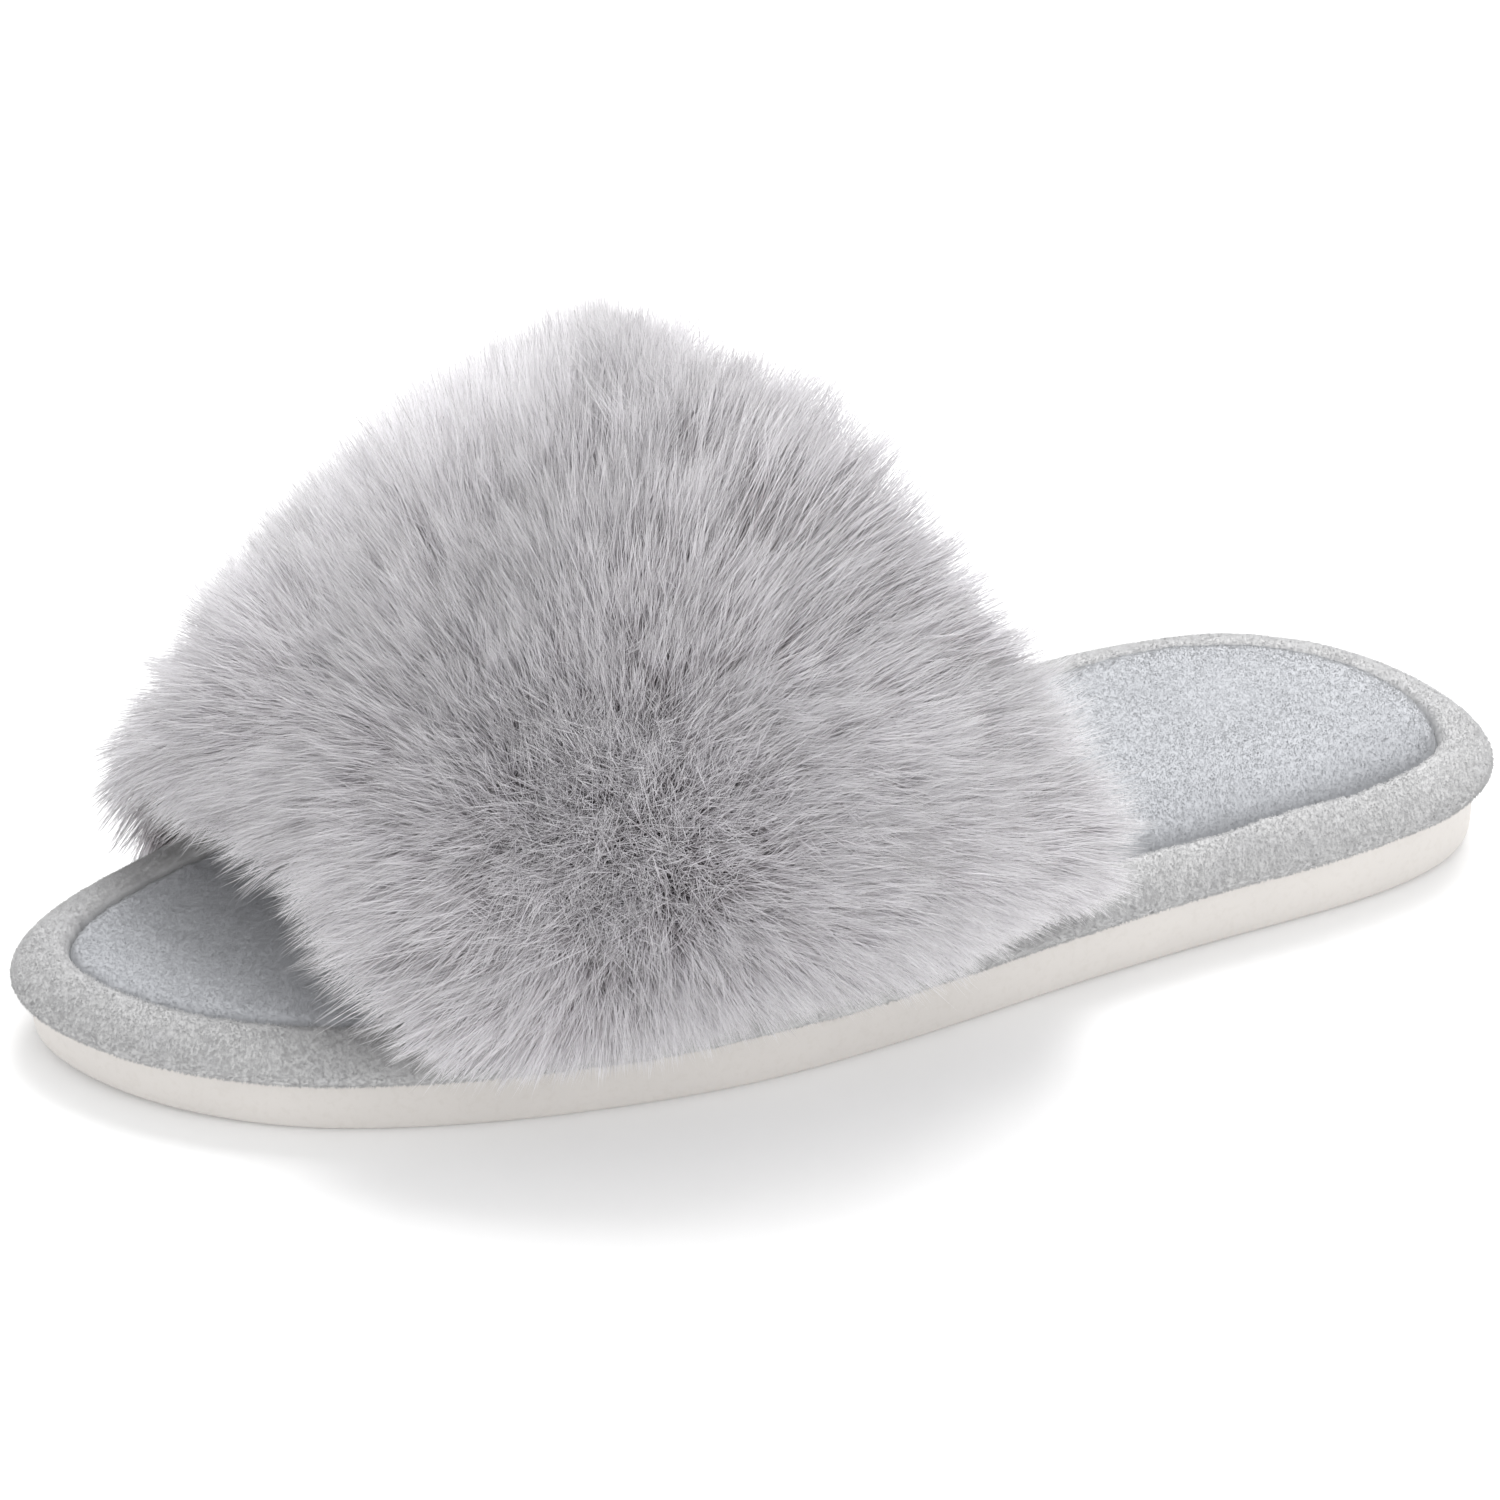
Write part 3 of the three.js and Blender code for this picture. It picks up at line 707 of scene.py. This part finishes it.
# ------------------------------------------------------------------ stitches
def capsules(name, centres, dirs, ups, length, radius, material, sides=6):
    """Rows of short thread stitches as small bent capsules."""
    prof = [(-0.5, 0.0), (-0.47, 0.7), (-0.3, 1.0), (0.0, 1.0), (0.3, 1.0), (0.47, 0.7), (0.5, 0.0)]
    ang = np.arange(sides) / sides * 2 * np.pi
    pts, tris = [], []
    side = unit(np.cross(dirs, ups))
    ups = np.cross(side, dirs)
    k = len(centres)
    rows = []
    for t, r in prof[1:-1]:
        dip = -0.55 * radius * (2 * t) ** 2
        c = centres + dirs * (t * length) + ups * dip
        rows.append(c[:, None] + r * radius * (np.cos(ang)[None, :, None] * ups[:, None] + np.sin(ang)[None, :, None] * side[:, None]))
    R = np.stack(rows, 1)                        # k, rows, sides, 3
    a = centres - dirs * (length * 0.5) - ups * 0.55 * radius
    b = centres + dirs * (length * 0.5) - ups * 0.55 * radius
    V = np.concatenate([R.reshape(k, -1, 3), a[:, None], b[:, None]], 1)
    nr = len(prof) - 2
    f = grid_faces(nr, sides, wrap_cols=True)
    tri = np.vstack([f[:, [0, 1, 2]], f[:, [0, 2, 3]]])
    c = np.arange(sides)
    e0, e1 = nr * sides, nr * sides + 1
    tri = np.vstack([tri, np.c_[np.full(sides, e0), (c + 1) % sides, c],
                     np.c_[np.full(sides, e1), (nr - 1) * sides + c, (nr - 1) * sides + (c + 1) % sides]])
    p = V[0]
    vol = (p[tri[:, 0]] * np.cross(p[tri[:, 1]], p[tri[:, 2]])).sum()
    x = p - p.mean(0)
    vol = (x[tri[:, 0]] * np.cross(x[tri[:, 1]], x[tri[:, 2]])).sum()
    if vol < 0:
        tri = tri[:, ::-1]
    T = (tri[None] + (np.arange(k) * V.shape[1])[:, None, None]).reshape(-1, 3)
    return make_piece(name, V.reshape(-1, 3), T, material)


def seam_stitches():
    ring, inward, length = rim_ring(int(RIM_LENGTH / 3.1))
    p = ring + inward * (SEAM_INSET - 0.15)
    t = unit(np.roll(p, -1, 0) - np.roll(p, 1, 0))
    c = np.c_[p, sole_top(p[:, 1]) + RIM_HEIGHT - 2.5]
    ob = capsules("seam_stitching", c, np.c_[t, np.zeros(len(t))], np.tile([0, 0, 1.0], (len(t), 1)),
                  2.5, 0.28, THREAD)
    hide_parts("rim_seam_thread")
    return ob


def edge_stitches(name, v, cad):
    k = 48
    u = np.linspace(0.07, 0.93, k)
    p, n, tv, tu = vamp_frame(u, np.full(k, v))
    c = p - n * 4.95
    t = unit(np.gradient(c, axis=0))
    ob = capsules(name, c, t, -n, 2.6, 0.3, THREAD)
    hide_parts(cad)
    return ob


seam_stitches()
edge_stitches("front_edge_stitching", 0.05, "vamp_front_topstitch")
edge_stitches("rear_edge_stitching", 0.955, "vamp_rear_topstitch")


# ------------------------------------------------------------------ fur
def strand_mesh(name, paths, widths, tone, material, rng, stops, facing, soft, strips=64):
    """Hairs as thin closed three-sided tapers. paths is (hairs, levels, 3) without the tip in widths."""
    n, L, _ = paths.shape
    tang = unit(np.gradient(paths, axis=1))
    ref = unit(rng.normal(size=(n, 3)))[:, None]
    A = unit(np.cross(tang, ref))
    B = np.cross(tang, A)
    V = np.zeros((n, (L - 1) * 3 + 1, 3))
    for k in range(3):
        a = 2 * math.pi * k / 3
        ofs = (math.cos(a) * A + math.sin(a) * B)[:, :-1] * widths[:, :, None] * 0.5
        V[:, k:(L - 1) * 3:3] = paths[:, :-1] + ofs
    V[:, -1] = paths[:, -1]
    # The coat shades as one soft surface: each hair's normals lean towards the skin's.
    Nv = np.zeros_like(V)
    for k in range(3):
        a = 2 * math.pi * k / 3
        Nv[:, k:(L - 1) * 3:3] = (math.cos(a) * A + math.sin(a) * B)[:, :-1]
    Nv = unit(Nv * (1 - soft) + facing[:, None] * soft)
    Nv[:, -1] = facing
    faces, corner = [], []     # corner: (u offset, v) for each loop
    for j in range(L - 2):
        for k in range(3):
            k1 = (k + 1) % 3
            a, b, c, d = j * 3 + k, j * 3 + k1, (j + 1) * 3 + k1, (j + 1) * 3 + k
            ua, ub, va, vb = k / 3, (k + 1) / 3, stops[j], stops[j + 1]
            faces += [[a, b, c], [a, c, d]]
            corner += [[(ua, va), (ub, va), (ub, vb)], [(ua, va), (ub, vb), (ua, vb)]]
    j = L - 2
    for k in range(3):
        faces.append([j * 3 + k, j * 3 + (k + 1) % 3, (L - 1) * 3])
        corner.append([(k / 3, stops[j]), ((k + 1) / 3, stops[j]), ((k + 0.5) / 3, 1.0)])
    faces.append([0, 2, 1])
    corner.append([(0.0, 0.0), (0.6, 0.0), (0.3, 0.02)])
    faces = np.array(faces)
    corner = np.array(corner)
    T = (faces[None] + (np.arange(n) * V.shape[1])[:, None, None]).reshape(-1, 3)
    bucket = np.clip((tone * strips).astype(int), 0, strips - 1)
    uv = np.empty((n, *corner.shape))
    uv[..., 0] = (bucket[:, None, None] + 0.15 + 0.7 * corner[None, ..., 0]) / strips
    uv[..., 1] = 0.004 + 0.992 * corner[None, ..., 1]
    return make_piece(name, V.reshape(-1, 3), T, material, uv=uv.reshape(-1, 2),
                      normals=Nv.reshape(-1, 3))


def sample_vamp(count, rng, density=None):
    gu = np.linspace(0.004, 0.996, 260)
    gv = np.linspace(0.0, 1.0, 130)
    U, Vv = np.meshgrid(row_u(gu), gv, indexing="ij")
    P = vamp_point(U.ravel(), Vv.ravel()).reshape(*U.shape, 3)
    du = P[1:, :-1] - P[:-1, :-1]
    dv = P[:-1, 1:] - P[:-1, :-1]
    area = np.linalg.norm(np.cross(du, dv), axis=-1)
    total = area.sum()
    w = area if density is None else area * density(U[:-1, :-1], Vv[:-1, :-1])
    cell = rng.choice(area.size, count, p=(w / w.sum()).ravel())
    i, j = np.unravel_index(cell, area.shape)
    a, b = rng.random(count), rng.random(count)
    u = U[i, j] * (1 - a) + U[i + 1, j] * a
    v = gv[j] * (1 - b) + gv[j + 1] * b
    return u, v, total


FLARE = 1.2


def hair_fields(u, v, rng, length, wild):
    """Root, first direction, last direction and length of each hair."""
    p, n, tv, tu = vamp_frame(u, v)
    # On the outer front quarter the pile stands straight out, all one way but ruffled.
    ruffle = np.exp(-((u - 0.79) / 0.13) ** 2 - ((v - 0.28) / 0.30) ** 2)
    n = unit(n * (1 - 0.8 * ruffle[:, None]) + np.array([0.76, -0.36, 0.54]) * 0.8 * ruffle[:, None])
    lean = FLARE * (np.clip((v - 0.22) / 0.68, 0, 1) ** 1.15 * (0.50 + 0.50 * smoothstep(u, 0.38, 0.60))
                    - np.clip(1 - v / 0.22, 0, 1) ** 1.2)
    h = np.clip(p[:, 2] - sole_top(p[:, 1]) - VAMP_LIFT, 0, None)
    low = np.exp(-h / 9.0)
    swirl = noise_vector(p, 18, 41) * 0.16 + noise_vector(p, 6, 45) * 0.12
    l0, l1 = lean * 0.72, lean * 1.12
    d0 = n * np.cos(l0)[:, None] + tv * np.sin(l0)[:, None] + swirl
    d1 = n * np.cos(l1)[:, None] + tv * np.sin(l1)[:, None] + swirl * 1.8
    far_toe = np.clip(1 - u / 0.4, 0, 1) * np.exp(-v / 0.2)      # the corner that hangs over the toe rim
    loose = (wild * (1 + 0.9 * ruffle))[:, None]
    near = smoothstep(u, 0.5, 0.8)
    d0 = d0 + rng.normal(size=p.shape) * loose * 0.5
    d1 = d1 + rng.normal(size=p.shape) * loose
    rise = smoothstep(v, 0.08, 0.5) * (1 - low) * (1 - 0.9 * smoothstep(u, 0.64, 0.84) * smoothstep(v, 0.4, 0.9))
    d0[:, 2] += 0.10 * low + 0.12 * rise
    d1[:, 2] += 0.30 * rise
    toe_hem = np.exp(-v / 0.12) * smoothstep(u, 0.55, 0.8)       # swept forward over the toe opening
    d0[:, 1] -= 0.35 * toe_hem
    d1[:, 1] -= 0.85 * toe_hem
    d1[:, 2] -= 0.10 + (2.0 - 0.9 * near - 0.4 * toe_hem) * low + 1.3 * far_toe
    d0, d1 = unit(d0), unit(d1)
    L = (length * (1 - (0.38 + 0.26 * near) * low * (1 - far_toe)) * (1 + 0.3 * far_toe + 0.36 * toe_hem)
         * (1 + (0.16 * smoothstep(v, 0.15, 0.6) * smoothstep(u, 0.2, 0.38)
                 + 0.12 * np.exp(-((v - 0.70) / 0.16) ** 2) * smoothstep(-u, -0.5, -0.4)
                 - 0.08 * smoothstep(v, 0.85, 1.0) * smoothstep(-u, -0.43, -0.38)
                 + 0.58 * smoothstep(v, 0.5, 1.0) * smoothstep(u, 0.40, 0.50) * smoothstep(-u, -0.76, -0.56)) * (1 - low))
         * (1 - 0.08 * smoothstep(-u, -0.35, -0.15)))
    return p, n, d0, d1, L, low


def hair_paths(p, d0, d1, L, stops):
    t = np.asarray(stops)[None, :, None]
    return p[:, None] + L[:, None, None] * (d0[:, None] * t * (1 - t / 2) + d1[:, None] * t * t / 2)


PILE = 25.0
HAIR_STOPS = (0.0, 0.5, 1.0)


def fur(count, pieces):
    rng = np.random.default_rng(20)
    # Clump centres, with their own hair for the others to gather towards.
    cu, cv, area = sample_vamp(int(15500 / 1.05), rng)
    cp, cn, cd0, cd1, cL, _ = hair_fields(cu, cv, rng, PILE * np.clip(rng.normal(0.97, 0.08, len(cu)), 0.7, 1.12), 0.24)
    stops = HAIR_STOPS
    cpath = hair_paths(cp, cd0, cd1, cL, stops)
    tree = KDTree(len(cp))
    for i, q in enumerate(cp):
        tree.insert(q, i)
    tree.balance()
    u, v, _ = sample_vamp(count, rng)
    length = PILE * np.clip(rng.normal(0.91, 0.15, count), 0.45, 1.12)
    under = rng.random(count) < 0.22           # shorter, finer undercoat
    length = np.where(under, length * rng.uniform(0.55, 0.85, count), length)
    p, n, d0, d1, L, low = hair_fields(u, v, rng, length, 0.30)
    path = hair_paths(p, d0, d1, L, stops)
    near = np.array([tree.find(q)[1] for q in p])
    pull = np.clip(rng.normal(0.66, 0.16, count), 0, 0.92)
    t = np.asarray(stops)[None, :, None]
    path = path + pull[:, None, None] * t ** 1.6 * (cpath[near] - path) * np.where(under, 0.6, 1)[:, None, None]
    path[:, 0] = p - n * 0.3
    z = path[:, :, 2]
    path[:, :, 2] = np.where(z > 113, 113 + 10 * np.tanh((z - 113) / 10), np.maximum(z, 1.0))
    tuft = rng.normal(size=len(cp)) * 0.17
    tone = 0.53 + 0.08 * noise(p, 11, 61) + 0.08 * noise(p, 3.5, 62) + rng.normal(size=count) * 0.22 + tuft[near]
    tone = np.clip(np.where(under, tone - 0.15, tone), 0, 0.999)
    w0 = rng.uniform(0.22, 0.36, count) * np.where(under, 0.85, 1.0)
    widths = np.stack([w0, w0 * 0.82], 1)
    made = []
    facing = unit(n + 0.6 * unit(path[:, -1] - path[:, 0]))
    order = np.argsort(v, kind="stable")       # pieces run from front to rear
    for k, part in enumerate(np.array_split(order, pieces)):
        made.append(strand_mesh(f"fur_pile_{k + 1:02d}", path[part], widths[part], tone[part], FUR,
                                np.random.default_rng(100 + k), stops, facing[part], 0.36))
    return made


HAIRS = 215000
pile = fur(HAIRS, 12)

# ------------------------------------------------------------------ short nap on the rim and the footbed
def sample_grid(P, keep, count, rng):
    """Random places on a grid of points, by area, with the grid's normal there."""
    a, b, c, d = P[:-1, :-1], P[1:, :-1], P[1:, 1:], P[:-1, 1:]
    cr = np.cross(c - a, d - b)
    w = np.linalg.norm(cr, axis=-1) * keep(0.25 * (a + b + c + d))
    cell = rng.choice(w.size, count, p=(w / w.sum()).ravel())
    i, j = np.unravel_index(cell, w.shape)
    s, t = rng.random((2, count, 1))
    q = (a[i, j] * (1 - s) + b[i, j] * s) * (1 - t) + (d[i, j] * (1 - s) + c[i, j] * s) * t
    return q, unit(cr[i, j])


def nap(name, P, outward, keep, count, length, flow, clump, pull, wild, material, slot, seed, pieces, rides):
    rng = np.random.default_rng(seed)
    q, n = sample_grid(P, keep, count, rng)
    n = np.where(((n * outward(q)).sum(1) < 0)[:, None], -n, n)
    way = flow(q, n)
    way = way - n * (way * n).sum(1)[:, None]
    d = n * 0.8 + way + rng.normal(size=q.shape) * wild
    L = length * np.clip(rng.normal(1, 0.18, count), 0.5, 1.5)
    tip = q + unit(d) * L[:, None]
    k = int(count / clump)
    tree = KDTree(k)
    for i in range(k):
        tree.insert(q[i], i)
    tree.balance()
    near = np.array([tree.find(v)[1] for v in q])
    share = np.clip(rng.normal(pull, 0.18, count), 0, 0.9)[:, None]
    tip = tip + (tip[near] - tip) * share
    gap = np.linalg.norm(tip - q, axis=1, keepdims=True)
    tip = q + (tip - q) * np.minimum(1, 1.6 * length / np.maximum(gap, 1e-9))
    paths = np.stack([q - n * 0.12, tip], 1)
    tone = np.clip(0.55 + 0.10 * noise(q, 9, seed + 1) + 0.06 * noise(q, 2.2, seed + 2)
                   + rng.normal(size=count) * 0.14, 0, 0.999)
    widths = rng.uniform(0.13, 0.21, count)[:, None]
    order = np.argsort(q[:, 1], kind="stable")
    return [strand_mesh(f"{name}_{k + 1:02d}", paths[part], widths[part], tone[part], material,
                        np.random.default_rng(seed + 50 + k), (0.0, 1.0), n[part], 0.7)
            for k, part in enumerate(np.array_split(order, pieces))]


def under_fur(q):
    """1 where the vamp leaves the plush in view, 0 well inside it."""
    y, x = q[..., 1], q[..., 0]
    k = np.clip((x + 40) / 85, 0, 1)
    front = FRONT_Y[0] * (1 - k) + FRONT_Y[2] * k
    rear = REAR_Y[0] * (1 - k) + REAR_Y[2] * k
    return np.where((y > front + 22) & (y < rear - 22), 0.25, 1.0)


_ring, _in, _ = rim_ring(1440)
seam_curve = KDTree(1440)
for _i, _q in enumerate(_ring + _in * SEAM_INSET):
    seam_curve.insert((_q[0], _q[1], 0.0), _i)
seam_curve.balance()


def seam_gap(q):
    """Plan distance from the sewn line between rim and footbed."""
    return np.array([seam_curve.find((v[0], v[1], 0.0))[2] for v in q.reshape(-1, 3)]).reshape(q.shape[:-1])


def rim_keep(q):
    level = q[..., 2] - sole_top(q[..., 1])
    return np.where((level > 0.95) & (seam_gap(q) > 0.9), 1.0, 0.0) * under_fur(q)


def panel_keep(q):
    return np.where(seam_gap(q) > 0.45, 1.0, 0.0) * under_fur(q)


def rim_flow(q, n):
    turn = noise_vector(q, 5.0, 71) * 0.14 + noise_vector(q, 1.8, 75) * 0.14
    turn[:, 2] -= 0.35
    return turn


def panel_flow(q, n):
    turn = noise_vector(q, 22.0, 81) * 0.25 + noise_vector(q, 3.0, 85) * 0.10
    turn[:, 1] -= 0.55
    turn[:, 0] += 0.25
    return turn


ring_mid = RIM_P.mean(1)
rim_axis = KDTree(len(ring_mid))
for _i, _q in enumerate(ring_mid):
    rim_axis.insert(_q, _i)
rim_axis.balance()


def rim_outward(q):
    return q - ring_mid[[rim_axis.find(v)[1] for v in q]]


rim_nap = nap("rim_nap", np.concatenate([RIM_P, RIM_P[:1]], 0), rim_outward, rim_keep, 130000, 0.5, rim_flow, 4, 0.30, 0.5,
              NAP_RIM, "rim_plush", 300, 3, None)
panel_nap = nap("panel_nap", np.concatenate([PANEL_P, PANEL_P[:, :1]], 1), lambda q: np.tile([0, 0, 1.0], (len(q), 1)), panel_keep, 170000, 0.38,
                panel_flow, 5, 0.12, 0.28, NAP_PANEL, "footbed_plush", 400, 4, None)

# The fur fabric as cut: an arched band, about 150 mm across the foot by 95 mm, before the pile. Only its area is taken
# here.
u_, v_, cloth_area = sample_vamp(10, np.random.default_rng(0))

# ------------------------------------------------------------------ inner layers keep their CAD shape
for name, colours in (("insole_board", (srgb(176, 150, 116), srgb(150, 125, 94))),
                      ("midsole_foam", (srgb(226, 222, 214), srgb(208, 203, 194)))):
    m = knit_material(name + "_surface", *colours)
    node_ob = bpy.data.objects[frame["nodes"][name]] if isinstance(frame["nodes"], dict) and isinstance(frame["nodes"][name], str) else (
        frame["nodes"][name] if isinstance(frame["nodes"], dict) else bpy.data.objects[name])
    node_ob.data.materials.clear()
    node_ob.data.materials.append(m)

# ------------------------------------------------------------------ stage, light, camera
scene = bpy.context.scene
floor_me = bpy.data.meshes.new("studio_floor")
R = 6.0
floor_me.from_pydata([(-R, -R, 0), (R, -R, 0), (R, R, 0), (-R, R, 0)], [], [(0, 1, 2, 3)])
floor = bpy.data.objects.new("studio_floor", floor_me)
scene.collection.objects.link(floor)
floor.location.z = -0.0003
fm, fnt, fb = new_material("studio_floor_paper")
fb.inputs["Base Color"].default_value = (0.90, 0.90, 0.90, 1)
fb.inputs["Roughness"].default_value = 1.0
fb.inputs["Specular IOR Level"].default_value = 0.0
fb.inputs["Emission Color"].default_value = (1, 1, 1, 1)
fb.inputs["Emission Strength"].default_value = 0.10
floor_me.materials.append(fm)

world = bpy.data.worlds.new("studio_air")
scene.world = world
world.use_nodes = True
bg = world.node_tree.nodes["Background"]
bg.inputs["Color"].default_value = (1, 1, 1, 1)
bg.inputs["Strength"].default_value = 0.88


def area_light(name, location, target, size, power, size_y=None):
    d = bpy.data.lights.new(name, "AREA")
    d.energy, d.size = power, size
    if size_y:
        d.shape, d.size_y = "RECTANGLE", size_y
    o = bpy.data.objects.new(name, d)
    scene.collection.objects.link(o)
    o.location = location
    o.rotation_euler = (Vector(target) - Vector(location)).to_track_quat("-Z", "Y").to_euler()
    return o


area_light("key_softbox", (-0.55, 0.38, 1.20), (0, 0, 0.03), 1.0, 18.0)
area_light("fill_softbox", (1.15, 0.25, 0.8), (0, 0, 0.03), 1.0, 2.5)

cam_data = bpy.data.cameras.new("camera")
cam = bpy.data.objects.new("camera", cam_data)
scene.collection.objects.link(cam)
az, el = math.radians(68.1247), math.radians(33.141)
back = Vector((math.sin(az) * math.cos(el), -math.cos(az) * math.cos(el), math.sin(el)))
right = Vector((math.cos(az), math.sin(az), 0))
up = back.cross(right)
cam.matrix_world = Matrix.Translation(
    (Vector((760.409, -308.400, 569.424)) + Vector(OFFSET)) * 0.001) @ Matrix(
    (right, up, back)).transposed().to_4x4()
cam_data.sensor_width = 36.0
cam_data.lens = 5779.8 / 1500 * 36
cam_data.clip_start, cam_data.clip_end = 0.05, 20
scene.camera = cam
scene.view_settings.view_transform = "Standard"
